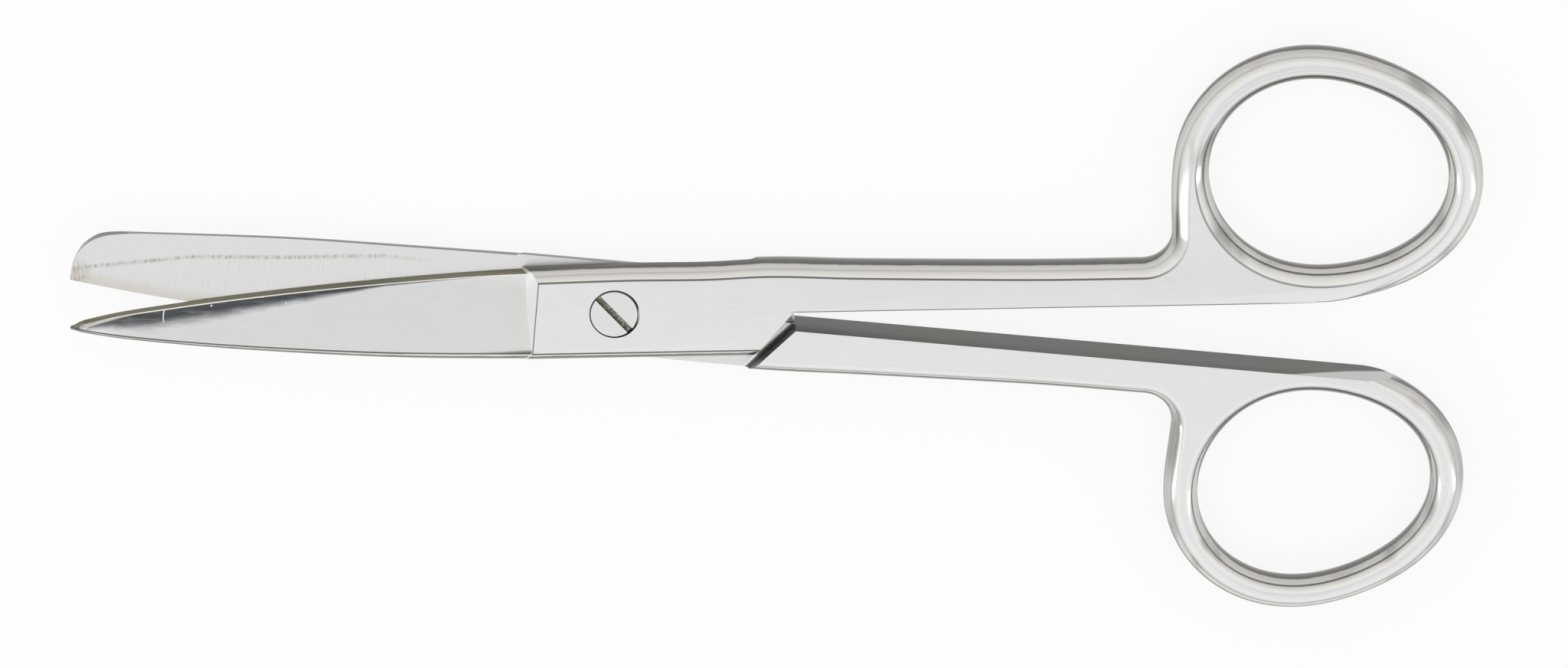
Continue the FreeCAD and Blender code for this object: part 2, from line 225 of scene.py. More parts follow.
def bore_point(shape, degrees):
    turn = math.radians(degrees - shape["ring_tilt"])
    long, short = shape["bore"]
    radius = long * short / math.hypot(short * math.cos(turn), long * math.sin(turn))
    radius += RING_EGG * math.cos(math.radians(3 * (degrees - RING_EGG_TURN)))
    angle = math.radians(degrees)
    return np.array(shape["ring_centre"]) + radius * np.array([math.cos(angle), math.sin(angle)])


def bore_normal(shape, degrees):
    along = bore_point(shape, degrees + 0.5) - bore_point(shape, degrees - 0.5)
    normal = np.array([along[1], -along[0]])
    return normal / np.hypot(*normal)


def ease(value, low, high):
    t = min(1.0, max(0.0, (value - low) / (high - low)))
    return t * t * (3 - 2 * t)


def ring_column(shape, degrees):
    """Outer point, inward direction, runs and crispness of the ring's outer side."""
    near = ease(degrees, WEB_START, WEB_FULL)
    late = ease(-degrees, -RIM_START, RIM_FADE - RIM_START)
    crisp = max(near, late)
    swell = BAR_SWELL * math.cos(math.radians(2 * (degrees - BAR_SWELL_TURN)))
    width = shape["bar"] + swell + NECK_BAR_EXTRA * near
    run = (width - RING_CREASE_BORE - RING_FLAT) * (1 - RIM_SHRINK * late)
    normal = bore_normal(shape, degrees)
    return bore_point(shape, degrees) + normal * width, -normal, run, crisp


def bore_crisp(degrees):
    """How sharp the bore's crease is: full over the web, faint round the far side of the ring."""
    if degrees < WEB_MIDDLE:
        web = ease(degrees, WEB_START, WEB_FULL)
    else:
        web = ease(360 - degrees, -RIM_START, RIM_FADE - RIM_START)
    return max(FAINT, web)


def plate_columns(shape):
    """Rim columns of the forging's plate and how crisp each is, clockwise from the buried end of the box."""
    columns = []
    sharp = []
    neck_x = shape["neck_x"]
    shares, widths = zip(*shape["side"])
    places = [share * (neck_x + SHOULDER_X) - SHOULDER_X for share in shares]
    xs = np.linspace(BURIED_X, neck_x, 90)
    for x, width in zip(xs, track(places, widths, xs)):
        share = (x + SHOULDER_X) / (neck_x + SHOULDER_X)
        crease = BOX_CREASE + (SHANK_CREASE - BOX_CREASE) * share
        columns.append(column((x, width), (0, -1), crease, 1.0, SHANK_ROUND))
        sharp.append(1.0)
    centre = np.array([neck_x, widths[-1] + NECK_RADIUS])
    first, last = -90.0, 0.0
    for degrees in np.arange(first + 4, last + 0.1, 4):
        share = (degrees - first) / (last - first)
        angle = math.radians(degrees)
        inward = np.array([math.cos(angle), math.sin(angle)])
        crease = SHANK_CREASE + (NECK_CREASE - SHANK_CREASE) * share
        under = SHANK_ROUND + (NECK_CREASE - SHANK_ROUND) * share
        columns.append(column(centre + inward * NECK_RADIUS, inward, crease, 1.0, under))
        sharp.append(1.0 - (1.0 - FAINT) * share)
    start = centre + NECK_RADIUS * np.array([1.0, 0.0])
    end, end_in, end_run, _ = ring_column(shape, JOIN_ANGLE)
    reach = np.hypot(*(end - start))
    leave = np.array([0.0, 1.0]) * reach
    arrive = np.array([-end_in[1], end_in[0]]) * reach
    for t in np.linspace(0, 1, 14)[1:-1]:
        point = ((1 + 2 * t) * (1 - t) ** 2 * start + t * (1 - t) ** 2 * leave
                 + t * t * (3 - 2 * t) * end + t * t * (t - 1) * arrive)
        blend = t * t * (3 - 2 * t)
        inward = (1 - blend) * np.array([1.0, 0.0]) + blend * end_in
        inward = inward / np.hypot(*inward)
        run = NECK_CREASE + (end_run - NECK_CREASE) * blend
        columns.append(column(point, inward, run, 1.0, run))
        sharp.append(FAINT)
    for degrees in np.arange(JOIN_ANGLE, -97, -2.0):
        outer, inward, run, crisp = ring_column(shape, degrees)
        columns.append(column(outer, inward, run, crisp, run))
        sharp.append(FAINT * crisp if degrees > 0 else crisp)
    far_y = -shape["spine_side"] - 2 * CLEAR
    columns.append(column((columns[-1][0][0], far_y), (0, 1), 0, 0, 0))
    turn_x = STEP_REACH + PAST_STEP
    columns.append(column((turn_x, far_y), (0, 1), 0, 0, 0))
    sharp += [0.0, 0.0]
    for x in np.linspace(turn_x - 1, BURIED_X, 40):
        columns.append(column((x, -shape["spine_side"]), (0, 1), BOX_CREASE, 1.0, BOX_CREASE))
        sharp.append(1.0)
    return columns, sharp


def mesh_object(name, points, faces, marks=()):
    """Mesh with its marks for the painted lines: 1 on a ground crease (painted shade), -1 on a honed ridge
    (painted highlight), -2 on the honed bevel (painted dark reflection), 0 elsewhere.
    """
    mesh = bpy.data.meshes.new(name)
    mesh.from_pydata([tuple(p) for p in points], [], [tuple(int(i) for i in f) for f in faces])
    layer = mesh.attributes.new("crease", "FLOAT", "FACE")
    layer.data.foreach_set("value", list(marks) + [0.0] * (len(faces) - len(marks)))
    work = bmesh.new()
    work.from_mesh(mesh)
    bmesh.ops.remove_doubles(work, verts=work.verts, dist=1e-5)
    bmesh.ops.recalc_face_normals(work, faces=work.faces)
    work.to_mesh(mesh)
    work.free()
    obj = bpy.data.objects.new(name, mesh)
    bpy.context.scene.collection.objects.link(obj)
    return obj


def column_marks(sharp, rows):
    """Marks of a closed grid of columns, whose last face rows round the crease over."""
    marks = []
    for c in range(len(sharp)):
        level = (sharp[c] + sharp[(c + 1) % len(sharp)]) / 2
        marks += [0.0] * (rows - 1 - SOFT_ROWS) + [level] * SOFT_ROWS
    return marks


def grid_faces(columns, rows, start=0, closed=True):
    faces = []
    for c in range(columns if closed else columns - 1):
        a = start + c * rows
        b = start + (c + 1) % columns * rows
        for r in range(rows - 1):
            faces.append((a + r, a + r + 1, b + r + 1, b + r))
    return faces


def cap(outer, hole):
    """Triangles of a flat face with one hole, as numbers into outer + hole."""
    loops = [[Vector((p[0], p[1], 0)) for p in outer]]
    if len(hole):
        loops.append([Vector((p[0], p[1], 0)) for p in hole])
    return tessellate_polygon(loops)


def plate(shape):
    rim, sharp = plate_columns(shape)
    rows = len(rim[0])
    turns = np.arange(0, 360, 2.0)
    bore = []
    for d in turns:
        bore.append(column(bore_point(shape, d), bore_normal(shape, d), RING_CREASE_BORE, bore_crisp(d),
                           RING_CREASE_BORE))
    points = np.vstack(rim + bore)
    split = len(rim) * rows
    faces = grid_faces(len(rim), rows) + grid_faces(len(bore), rows, split)
    marks = column_marks(sharp, rows) + column_marks([bore_crisp(d) for d in turns], rows)
    for row in (0, rows - 1):
        numbers = [c * rows + row for c in range(len(rim))]
        numbers += [split + c * rows + row for c in range(len(bore))]
        for triangle in cap([c[row] for c in rim], [c[row] for c in bore]):
            faces.append([numbers[i] for i in triangle])
    return mesh_object(shape["name"] + "_plate", points, faces, marks)


def prism(name, corners, low, high):
    count = len(corners)
    points = [(x, y, low) for x, y in corners] + [(x, y, high) for x, y in corners]
    faces = [list(range(count)), list(range(count, 2 * count))]
    faces += [(i, (i + 1) % count, count + (i + 1) % count, count + i) for i in range(count)]
    return mesh_object(name, points, faces)


def extruded(name, corners, shift):
    """Solid from a flat outline in space, carried along a shift."""
    count = len(corners)
    points = [tuple(c) for c in corners] + [tuple(np.asarray(c) + shift) for c in corners]
    faces = [list(range(count)), list(range(count, 2 * count))]
    faces += [(i, (i + 1) % count, count + (i + 1) % count, count + i) for i in range(count)]
    return mesh_object(name, points, faces)


def cylinder(name, radius, low, high, x=0.0, y=0.0):
    angles = [2 * math.pi * i / ROUND_SIDES for i in range(ROUND_SIDES)]
    corners = [(x + radius * math.cos(angle), y + radius * math.sin(angle)) for angle in angles]
    return prism(name, corners, low, high)


def combine(obj, other, operation):
    modifier = obj.modifiers.new("combine", "BOOLEAN")
    modifier.operation = operation
    modifier.solver = "EXACT"
    modifier.object = other
    bpy.context.view_layer.update()
    result = bpy.data.meshes.new_from_object(obj.evaluated_get(bpy.context.evaluated_depsgraph_get()))
    obj.modifiers.clear()
    old = obj.data
    obj.data = result
    bpy.data.meshes.remove(old)
    bpy.data.objects.remove(other)
    return obj


def diagonal_x(y):
    return STEP_REACH - y / math.tan(math.radians(STEP_ANGLE))


def cut_box(obj, shape):
    """Take the plate down to box and shank: inner wall, diagonal, lap face with its cove, shoulder."""
    turn = math.radians(STEP_ANGLE)
    gap = STEP_GAP / 2 / math.sin(turn)
    wide = shape["spine_side"] + 4
    wall = shape["wall"]
    beyond = [(diagonal_x(-wall) - gap, wall), (diagonal_x(wide) - gap, -wide), (FAR, -wide), (FAR, wall)]
    combine(obj, prism("beyond", beyond, -CLEAR, THICKNESS + CLEAR), "DIFFERENCE")
    across = np.array([math.sin(turn), math.cos(turn), 0])
    along = np.array([-math.cos(turn), math.sin(turn), 0])
    up = np.array([0, 0, 1.0])
    foot = np.array([diagonal_x(0), 0, LAP_FACE]) + across * STEP_GAP / 2
    cove = []
    for angle in np.linspace(0, 90, 9):
        a = math.radians(angle)
        centre = foot - across * STEP_COVE - up * STEP_COVE
        cove.append(centre + across * STEP_COVE * math.sin(a) + up * STEP_COVE * math.cos(a))
    low = cove[-1] - up * (LAP_FACE + CLEAR)
    outline = cove + [low, low - across * FAR, foot - across * FAR]
    outline = [p - along * FAR for p in outline]
    combine(obj, extruded("lap", outline, along * 2 * FAR), "DIFFERENCE")
    across = np.array([math.sin(turn), -math.cos(turn), 0])
    along = np.array([-math.cos(turn), -math.sin(turn), 0])
    size = STEP_COVE + STEP_GAP
    foot = np.array([diagonal_x(0) - gap, 0, LAP_FACE])
    wedge = [foot - across * size - up, foot - across * size, foot + (across + up * 2) * size,
             foot + across * size - up]
    chamfer = extruded("wedge", [p - along * CLEAR for p in wedge], along * 3 * wide)
    side = [(-CLEAR, wall), (-CLEAR, -4 * wide), (FAR, -4 * wide), (FAR, wall)]
    combine(chamfer, prism("side", side, -CLEAR, THICKNESS + CLEAR), "INTERSECT")
    combine(obj, chamfer, "DIFFERENCE")
    slope = math.radians(SHOULDER_SLOPE)
    high = THICKNESS + CLEAR
    top_x = CLEAR / math.tan(slope) - SHOULDER_X
    outline = [(top_x, 0, high), (top_x - high / math.tan(slope), 0, 0), (-FAR, 0, 0), (-FAR, 0, high)]
    outline = [(x, -2 * wide, z) for x, _, z in outline]
    shoulder = extruded("shoulder", outline, np.array([0, 4 * wide, 0]))
    pivot = Vector((-SHOULDER_X, 0, 0))
    skew = Matrix.Rotation(math.radians(-SHOULDER_SKEW), 4, "Z")
    shoulder.data.transform(Matrix.Translation(pivot) @ skew @ Matrix.Translation(-pivot))
    combine(obj, shoulder, "DIFFERENCE")


def blade_section(x, spine, edge, thick, ridge, roll):
    """Rows of one blade section, from the spine at the lap face over to the cutting edge."""
    tip = ease(-x, BLADE_REACH - TIP_LENGTH, BLADE_REACH) if spine < TIP_SPINE else 0.0
    spine, edge = spine - TIP_SPINE_CUT * tip, edge - TIP_EDGE_CUT * tip
    crease = min(BOX_CREASE, 0.5 * thick)
    band = quarter(crease, thick, 1.0)
    band[0, 1] = LAP_BREAK
    points = [(x, -spine + LAP_BREAK, LAP_FACE)]
    points += [(x, -spine + run, LAP_FACE + rise) for run, rise in band]
    honed = min(HONED_WIDTH, (edge + spine) / 4)
    top = np.array([x, -spine + crease + EDGE_BREAK, LAP_FACE + thick])
    low = np.array([x, edge - honed, LAP_FACE + min(ridge, thick * 0.6)])
    chord = low - top
    lift = np.array([0, 0, 1.0])
    face = bezier([top, top + chord * 0.34 + lift * roll * 0.3, low - chord * 0.3 + lift * roll, low],
                  np.linspace(0, 1, 25))
    points += [tuple(p) for p in face[1:-1]]
    last = face[-2] - low
    points += [tuple(low + last * (RIDGE_BREAK / np.hypot(*last[1:]))), tuple(low)]
    foot = np.array([x, edge, LAP_FACE + EDGE_LAND])
    points += [tuple(low + (foot - low) * t) for t in (0.5, 1.0)]
    points.append((x, edge, LAP_FACE))
    return np.array(points)


def blade(shape):
    stations = np.array(shape["blade"])
    shares = np.linspace(stations[0][0], stations[-1][0], BLADE_COLUMNS)
    values = [track(stations[:, 0], stations[:, i], shares) for i in range(1, 6)]
    rings = []
    for share, *rest in zip(shares, *values):
        rings.append(blade_section(-SHOULDER_X - share * (BLADE_REACH - SHOULDER_X), *rest))
    rows = len(rings[0])
    faces = grid_faces(len(rings), rows, closed=False)
    row_marks = [0.0] * (rows - 1)
    row_marks[ROWS:ROWS + SOFT_ROWS] = [1.0] * SOFT_ROWS
    row_marks[0] = 0.8
    row_marks[rows - 5] = -1.0
    row_marks[rows - 4:] = [-2.0] * 3
    marks = row_marks * (len(rings) - 1)
    faces += [(c * rows, c * rows + rows - 1, (c + 1) * rows + rows - 1, (c + 1) * rows)
              for c in range(len(rings) - 1)]
    faces += [list(range(rows)), [(len(rings) - 1) * rows + r for r in range(rows)]]
    return mesh_object(shape["name"] + "_blade", np.vstack(rings), faces, marks)


def blunt_end(obj):
    shares, sides = zip(*BLUNT_END)
    t = np.linspace(0, 1, len(shares))
    fine = np.linspace(0, 1, 40)
    xs = [-SHOULDER_X - s * (BLADE_REACH - SHOULDER_X) for s in track(t, shares, fine)]
    ys = track(t, sides, fine)
    reach = 12.0
    corners = list(zip(xs, ys)) + [(xs[-1], reach), (0, reach), (0, -reach), (xs[0], -reach)]
    return combine(obj, prism("end", corners, 0, THICKNESS), "INTERSECT")


def finished(obj, turn, over):
    """Weld the corners that the cuts left close together, move the half to the frame and set its shading."""
    place = Matrix.Rotation(math.radians(turn), 4, "Z")
    if over:
        middle = Vector((0, 0, MIDDLE))
        flip = Matrix.Translation(middle) @ Matrix.Rotation(math.pi, 4, "X") @ Matrix.Translation(-middle)
        place = place @ flip
    welded = bmesh.new()
    welded.from_mesh(obj.data)
    bmesh.ops.remove_doubles(welded, verts=welded.verts, dist=WELD)
    bmesh.ops.dissolve_degenerate(welded, edges=welded.edges, dist=WELD)
    welded.to_mesh(obj.data)
    welded.free()
    obj.data.transform(Matrix.Scale(MM, 4) @ place)
    smooth(obj)


def smooth(obj):
    mesh = obj.data
    mesh.polygons.foreach_set("use_smooth", [True] * len(mesh.polygons))
    mesh.set_sharp_from_angle(angle=math.radians(SHARP_FROM))
    mesh.update()


def half(shape, blunt):
    body = plate(shape)
    cut_box(body, shape)
    part = blade(shape)
    if blunt:
        blunt_end(part)
    combine(body, part, "UNION")
    return body


def front_half():
    body = half(FRONT, False)
    top = THICKNESS + CLEAR
    combine(body, cylinder("bore", JOURNAL_RADIUS + JOURNAL_CLEARANCE, -CLEAR, top), "DIFFERENCE")
    turn = math.radians(-FRONT_TURN)
    x = RECESS_SHIFT * (math.cos(turn) - math.sin(turn))
    y = RECESS_SHIFT * (math.sin(turn) + math.cos(turn))
    seat = THICKNESS - HEAD_SINK - HEAD_HEIGHT - SEAT_CLEARANCE
    combine(body, cylinder("recess", HEAD_RADIUS + RECESS_CLEARANCE, seat, top, x, y), "DIFFERENCE")
    finished(body, FRONT_TURN, False)
    return body


def back_half():
    body = half(BACK, True)
    combine(body, cylinder("thread", THREAD_RADIUS, -CLEAR, THICKNESS + CLEAR), "DIFFERENCE")
    finished(body, BACK_TURN, True)
    return body


def pivot_screw():
    top = THICKNESS - HEAD_SINK
    under = top - HEAD_HEIGHT
    thread_top = MIDDLE - LAP_GAP / 2
    outline = [
        (THREAD_RADIUS, 0), (THREAD_RADIUS, thread_top),
        (JOURNAL_RADIUS, thread_top), (JOURNAL_RADIUS, under),
        (HEAD_RADIUS, under), (HEAD_RADIUS, top - HEAD_CHAMFER - SCREW_BREAK),
        (HEAD_RADIUS - SCREW_BREAK, top - HEAD_CHAMFER), (HEAD_RADIUS - HEAD_CHAMFER, top - SCREW_BREAK),
        (HEAD_RADIUS - HEAD_CHAMFER - SCREW_BREAK, top),
    ]
    points = []
    for i in range(ROUND_SIDES):
        angle = 2 * math.pi * i / ROUND_SIDES
        points += [(r * math.cos(angle), r * math.sin(angle), z) for r, z in outline]
    rows = len(outline)
    faces = grid_faces(ROUND_SIDES, rows)
    faces += [[c * rows + row for c in range(ROUND_SIDES)] for row in (0, rows - 1)]
    screw = mesh_object("screw", points, faces)
    half_wide = SLOT_WIDTH / 2
    reach = 2 * HEAD_RADIUS
    corners = [(-reach, -half_wide), (reach, -half_wide), (reach, half_wide), (-reach, half_wide)]
    slot = prism("slot", corners, top - SLOT_DEPTH, top + CLEAR)
    slot.data.transform(Matrix.Rotation(math.radians(SLOT_ANGLE), 4, "Z"))
    combine(screw, slot, "DIFFERENCE")
    screw.data.transform(Matrix.Scale(MM, 4))
    smooth(screw)
    return screw


front = front_half()
front.name = "front_half_steel"
back = back_half()
back.name = "back_half_steel"
screw = pivot_screw()
screw.name = "pivot_screw_steel"
for piece in (front, back, screw):
    work = bmesh.new()
    work.from_mesh(piece.data)
    open_edges = [e for e in work.edges if not e.is_manifold]
    print(piece.name, "faces", len(piece.data.polygons), "open or branching edges", len(open_edges))
    work.free()

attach(front, "front")
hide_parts("front_half")
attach(back, "back")
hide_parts("back_half")
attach(screw, "back")
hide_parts("pivot_screw")


# Finishes

class Nodes:
    """Short names for building one material's nodes."""

    def __init__(self, name):
        self.material = bpy.data.materials.new(name)
        self.material.use_nodes = True
        self.tree = self.material.node_tree
        self.shader = self.tree.nodes["Principled BSDF"]

    def put(self, kind, inputs=None, **settings):
        node = self.tree.nodes.new(kind)
        for key, value in settings.items():
            setattr(node, key, value)
        for key, value in (inputs or {}).items():
            self.feed(value, node.inputs[key])
        return node

    def feed(self, value, socket):
        if isinstance(value, bpy.types.NodeSocket):
            self.tree.links.new(value, socket)
        else:
            socket.default_value = value

    def math(self, operation, a, b=0.0, c=0.0, clamp=False):
        return self.put("ShaderNodeMath", {0: a, 1: b, 2: c}, operation=operation, use_clamp=clamp).outputs[0]

    def step(self, value, low, high):
        """Smooth 0 to 1 as the value goes from low to high, also where low is the larger."""
        node = self.put("ShaderNodeMapRange", {"Value": value, "From Min": low, "From Max": high},
                        interpolation_type="SMOOTHSTEP")
        return node.outputs["Result"]

    def both(self, *masks):
        result = masks[0]
        for mask in masks[1:]:
            result = self.math("MULTIPLY", result, mask)
        return result

    def mix(self, share, a, b):
        node = self.put("ShaderNodeMix", {"Factor": share, "A": a, "B": b}, data_type="FLOAT")
        return node.outputs["Result"]

    def tint(self, share, a, b):
        node = self.tree.nodes.new("ShaderNodeMix")
        node.data_type = "RGBA"
        self.feed(share, node.inputs[0])
        self.feed(a, node.inputs[6])
        self.feed(b, node.inputs[7])
        return node.outputs[2]

    def curve(self, x, points):
        """A line through (x, y) points, read at x and level past both ends."""
        xs, ys = zip(*sorted(points))
        low, high = min(ys), max(ys)
        share = self.math("MULTIPLY_ADD", x, 1 / (xs[-1] - xs[0]), -xs[0] / (xs[-1] - xs[0]), clamp=True)
        ramp = self.put("ShaderNodeValToRGB", {"Fac": share})
        elements = ramp.color_ramp.elements
        while len(elements) < len(xs):
            elements.new(0.5)
        for element, at, y in zip(elements, xs, ys):
            element.position = (at - xs[0]) / (xs[-1] - xs[0])
            level = (y - low) / (high - low)
            element.color = (level, level, level, 1)
        return self.math("MULTIPLY_ADD", ramp.outputs["Color"], high - low, low)

    def near(self, place, spot, reach):
        """1 at a spot, 0 from the given reach on."""
        far = self.put("ShaderNodeVectorMath", {0: place, 1: spot}, operation="DISTANCE").outputs["Value"]
        return self.step(far, reach, reach * 0.4)

    def flattened(self, place):
        """The place with its height taken as 0."""
        return self.put("ShaderNodeVectorMath", {0: place, 1: (1, 1, 0)}, operation="MULTIPLY").outputs[0]

    def noise(self, vector, scale, detail=2.0, stretch=(1, 1, 1), rough=0.5):
        mapped = self.put("ShaderNodeMapping", {"Vector": vector, "Scale": stretch}).outputs[0]
        inputs = {"Vector": mapped, "Scale": scale, "Detail": detail, "Roughness": rough}
        return self.put("ShaderNodeTexNoise", inputs).outputs["Fac"]


# Colours of the steel and of its marks, and of the painted shade, dark reflections and highlights on it.
TONES = dict(
    flat=(0.80, 0.805, 0.80, 1),
    flat_bright=(0.845, 0.85, 0.85, 1),
    # Painted shade: a darker beige on sloped faces.
    slope=(0.745, 0.72, 0.675, 1),
    lap=(0.775, 0.78, 0.775, 1),
    # Painted dark reflection on steep faces.
    steep_painted_reflection=(0.31, 0.315, 0.325, 1),
    # Painted reflection: dark irregular streaks on the ring's sides.
    painted_reflection_streaks=(0.16, 0.158, 0.152, 1),
    # Painted dark reflection on upright and overhanging sides.
    painted_dark=(0.120, 0.117, 0.110, 1),
    # Painted shade: the end walls and step face in the gap between the halves are a mid grey.
    gap_end=(0.50, 0.50, 0.48, 1),
    step_face=(0.34, 0.335, 0.32, 1),
    # Painted dark reflection on the ground inner wall, darker towards the drawing's underside.
    wall=(0.145, 0.143, 0.137, 1),
    wall_side=(0.115, 0.113, 0.108, 1),
    # Painted dark reflection on the honed bevel.
    honed=(0.205, 0.190, 0.135, 1),
    # Painted highlight on the shoulder's slope.
    shoulder=(0.98, 0.98, 0.97, 1),
    # Painted shade: thin dark lines along the face's edges by the shoulder and the inner wall.
    rim=(0.12, 0.12, 0.115, 1),
    # Painted shade: dark line along the ground creases.
    crease=(0.10, 0.098, 0.092, 1),
    # Painted highlight along the honed ridge.
    ridge=(0.88, 0.88, 0.86, 1),
    # Painted dark reflection near the blade's tip, and its thinner streaks.
    tip_dark_reflection=(0.052, 0.056, 0.064, 1),
    tip_dark_reflection_thin=(0.17, 0.17, 0.168, 1),
    # Painted shade: a warmer beige on the blade face near its root.
    root=(0.80, 0.76, 0.70, 1),
    nick=(0.85, 0.85, 0.84, 1),
    warm_edge=(0.64, 0.58, 0.51, 1),
    stain=(0.40, 0.36, 0.29, 1),
    hatch=(0.45, 0.43, 0.38, 1),
    corner_stain=(0.36, 0.31, 0.24, 1),
    screw=(0.80, 0.80, 0.79, 1),
    # Painted shade in the slot and below the head's chamfer.
    screw_sunk_shade=(0.22, 0.205, 0.18, 1),
    screw_spots=(0.55, 0.53, 0.49, 1),
)

# Marks along x in the half's drawing: the width of the painted dark reflection near the tip, light nicks,
# stain line and corner.
TIP_REFLECTION_WIDTH = (
    (-56.1, 0.30), (-54.0, 0.50), (-51.5, 0.95), (-47.5, 1.55), (-44.4, 1.50), (-39.6, 1.30), (-31.8, 0.85),
    (-23.9, 0.28), (-16.0, 0.12), (-9.0, 0.07),
)
NICKS = ((-41.5, 1.14), (-36.2, 1.97), (-33.8, 1.33), (-30.9, 2.61))
NICK_REACH = 0.13
SCRATCH_X = 46.5
SCRATCH_BEND = -0.22
STAIN_LINE = ((-55.7, 0.91), (-52.8, 0.31), (-48.7, -0.49), (-43.8, -1.46), (-34.8, -2.21), (-24.3, -3.35))
STAIN_CORNER = (-56.0, 1.5, 0)
STAIN_CORNER_REACH = 2.3

# How far below the face the ground inner wall begins, by x: it dies out downwards as it reaches the ring.
WALL_TOP = ((66.0, -0.6), (70.5, 0.2), (73.0, 1.3), (76.0, 2.5), (81.0, 3.8))


def edge_points(shape):
    return [(-SHOULDER_X - station[0] * (BLADE_REACH - SHOULDER_X), station[2]) for station in shape["blade"]]


def sharp_blade_marks(n, color, place, x, y, nz):
    """Painted dark reflection below the honed ridge, widest near the tip and streaked, painted shade near the
    root, and a few light nicks and a scratch.
    """
    on_face = n.both(n.step(nz, 0.7, 0.8), n.step(x, -9.0, -10.0))
    ridge_line = n.curve(x, [(a, b - HONED_WIDTH) for a, b in edge_points(FRONT)])
    inward = n.math("SUBTRACT", ridge_line, y)
    level = n.noise(place, 1.6, 3.0, (0.30, 1.0, 1.0), 0.6)
    uneven = n.math("MULTIPLY_ADD", level, 0.5, 0.75)
    deep = n.math("MULTIPLY", n.curve(x, TIP_REFLECTION_WIDTH), uneven)
    # Painted dark reflection below the honed ridge.
    painted_dark = n.both(on_face, n.step(inward, n.math("MULTIPLY", deep, 1.45), n.math("MULTIPLY", deep, 0.45)))
    streak = n.step(n.noise(place, 2.6, 3.0, (0.12, 1.0, 1.0), 0.6), 0.52, 0.66)
    blue = n.tint(n.math("MULTIPLY", streak, 0.6), TONES["tip_dark_reflection"], TONES["tip_dark_reflection_thin"])
    color = n.tint(n.math("MULTIPLY", painted_dark, n.mix(n.step(x, -56.5, -49.5), 0.72, 0.96)), color, blue)
    # Painted shade: a warmer beige on the blade face near its root.
    root = n.both(on_face, n.step(x, -15.0, -9.0))
    color = n.tint(n.math("MULTIPLY", root, 0.35), color, TONES["root"])
    bend = n.math("MULTIPLY", n.math("MULTIPLY", y, y), SCRATCH_BEND)
    scratch = n.math("ABSOLUTE", n.math("ADD", n.math("ADD", x, SCRATCH_X), bend))
    nicks = n.both(n.step(scratch, 0.085, 0.03), n.step(y, -0.6, -0.4), n.step(y, 0.95, 0.75))
    flat = n.flattened(place)
    for nick_x, nick_y in NICKS:
        nicks = n.math("MAXIMUM", nicks, n.near(flat, (nick_x, nick_y, 0), NICK_REACH))
    return n.tint(n.both(nicks, on_face), color, TONES["nick"])


def blunt_blade_marks(n, color, place, x, y, lap):
    """Faint brown stain line along the inner face, warm tint by the cutting edge, stain at the corner."""
    on_blade = n.step(x, -8.0, -10.0)
    edge = n.math("SUBTRACT", n.curve(x, edge_points(BACK)), y)
    color = n.tint(n.both(lap, on_blade, n.step(edge, 1.6, 0.2), 0.55), color, TONES["warm_edge"])
    off = n.math("SUBTRACT", y, n.curve(x, STAIN_LINE))
    dots = n.step(n.noise(place, 3.4, 3.0, (1.6, 0.35, 1.0), 0.65), 0.44, 0.62)
    fade = n.both(lap, n.step(x, -17.0, -27.0))
    near_line = n.step(n.math("ABSOLUTE", off), 0.34, 0.04)
    stain = n.both(fade, near_line, n.math("MULTIPLY_ADD", dots, 0.62, 0.16))
    color = n.tint(stain, color, TONES["stain"])
    hatch = n.step(n.noise(place, 4.2, 2.0, (2.0, 0.10, 1.0), 0.5), 0.55, 0.72)
    color = n.tint(n.both(fade, n.step(off, 0.0, 0.3), hatch, 0.16), color, TONES["hatch"])
    in_corner = n.near(n.flattened(place), STAIN_CORNER, STAIN_CORNER_REACH)
    corner = n.both(lap, in_corner, n.math("MULTIPLY_ADD", dots, 0.55, 0.08))
    return n.tint(corner, color, TONES["corner_stain"])


def wall_masks(n, place, x, y, z, ny, over):
    """The plane of the ground inner wall, and the part of it that is left beside the ring."""
    depth = z if over else n.math("SUBTRACT", THICKNESS, z)
    kept = n.step(n.math("SUBTRACT", depth, n.curve(x, WALL_TOP)), -0.25, 0.35)
    plane = n.both(n.step(ny, -0.90, -0.98), n.step(x, 12.0, 14.0), n.step(y, 0.6, 0.4))
    return plane, n.both(plane, kept)


def bore_mask(n, place, shape):
    """1 within and just round the ring's bore."""
    ring = n.put("ShaderNodeMapping", {
        "Vector": place, "Location": shape["ring_centre"] + (0.0,), "Scale": shape["bore"] + (1e6,),
        "Rotation": (0.0, 0.0, math.radians(shape["ring_tilt"]))}, vector_type="TEXTURE").outputs[0]
    return n.step(n.put("ShaderNodeVectorMath", {0: ring}, operation="LENGTH").outputs["Value"], 1.18, 1.11)


def painted_dark_sides(n, x, outward, bore, patch):
    """Painted dark reflection on sides that stand upright or lean over, sooner on the shank and on sides
    towards -Y.
    """
    lean = n.math("MULTIPLY", n.math("MULTIPLY", outward[1], -1.0, clamp=True), n.mix(bore, 0.60, 1.15))
    lean = n.math("ADD", lean, n.mix(n.step(x, 54.0, 60.0), 0.32, 0.20))
    lean = n.math("ADD", lean, n.math("MULTIPLY_ADD", patch, 0.12, -0.06))
    lean = n.math("SUBTRACT", outward[2], lean)
    return n.both(n.step(lean, 0.03, -0.03), n.step(outward[2], -0.85, -0.6))


